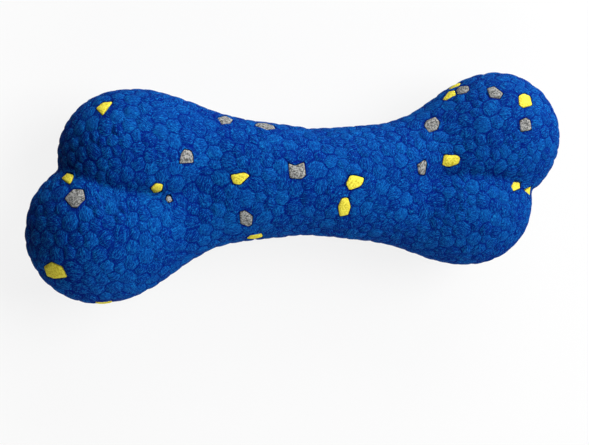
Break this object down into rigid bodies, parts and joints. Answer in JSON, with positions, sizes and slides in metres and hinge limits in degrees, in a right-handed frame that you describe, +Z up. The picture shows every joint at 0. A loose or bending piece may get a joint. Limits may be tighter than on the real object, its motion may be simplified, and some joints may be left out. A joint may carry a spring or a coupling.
{
  "type": "dog chew bone toy",
  "caption": "Bone-shaped dog toy moulded from fused blue foam beads with scattered yellow and grey beads, for chewing, fetching and floating.",
  "frame": {"origin": "on the ground under the middle of the bone, as it lies flat on its four knuckles", "axes": "+X along the bone, +Y across its two knuckles, +Z up through its thickness"},
  "size_m": [0.1784, 0.0655, 0.0384],
  "materials": {
    "blue_foam": "matte fused foam beads with fine wrinkles",
    "yellow_foam": "matte foam bead with fine wrinkles",
    "grey_foam": "matte foam bead with fine wrinkles"
  },
  "bodies": {
    "root": {"blue_bead_body": "blue_foam", "yellow_bead_01": "yellow_foam", "yellow_bead_02": "yellow_foam", "yellow_bead_03": "yellow_foam", "yellow_bead_04": "yellow_foam", "yellow_bead_05": "yellow_foam", "yellow_bead_06": "yellow_foam", "yellow_bead_07": "yellow_foam", "yellow_bead_08": "yellow_foam", "yellow_bead_09": "yellow_foam", "yellow_bead_10": "yellow_foam", "yellow_bead_11": "yellow_foam", "yellow_bead_12": "yellow_foam", "yellow_bead_13": "yellow_foam", "yellow_bead_14": "yellow_foam", "yellow_bead_15": "yellow_foam", "yellow_bead_16": "yellow_foam", "yellow_bead_17": "yellow_foam", "yellow_bead_18": "yellow_foam", "yellow_bead_19": "yellow_foam", "yellow_bead_20": "yellow_foam", "yellow_bead_21": "yellow_foam", "yellow_bead_22": "yellow_foam", "yellow_bead_23": "yellow_foam", "yellow_bead_24": "yellow_foam", "yellow_bead_25": "yellow_foam", "yellow_bead_26": "yellow_foam", "yellow_bead_27": "yellow_foam", "yellow_bead_28": "yellow_foam", "yellow_bead_29": "yellow_foam", "yellow_bead_30": "yellow_foam", "grey_bead_01": "grey_foam", "grey_bead_02": "grey_foam", "grey_bead_03": "grey_foam", "grey_bead_04": "grey_foam", "grey_bead_05": "grey_foam", "grey_bead_06": "grey_foam", "grey_bead_07": "grey_foam", "grey_bead_08": "grey_foam", "grey_bead_09": "grey_foam", "grey_bead_10": "grey_foam", "grey_bead_11": "grey_foam", "grey_bead_12": "grey_foam", "grey_bead_13": "grey_foam", "grey_bead_14": "grey_foam", "grey_bead_15": "grey_foam", "grey_bead_16": "grey_foam", "grey_bead_17": "grey_foam", "grey_bead_18": "grey_foam", "grey_bead_19": "grey_foam", "grey_bead_20": "grey_foam", "grey_bead_21": "grey_foam", "grey_bead_22": "grey_foam", "grey_bead_23": "grey_foam", "grey_bead_24": "grey_foam", "grey_bead_25": "grey_foam"}
  },
  "joints": []
}
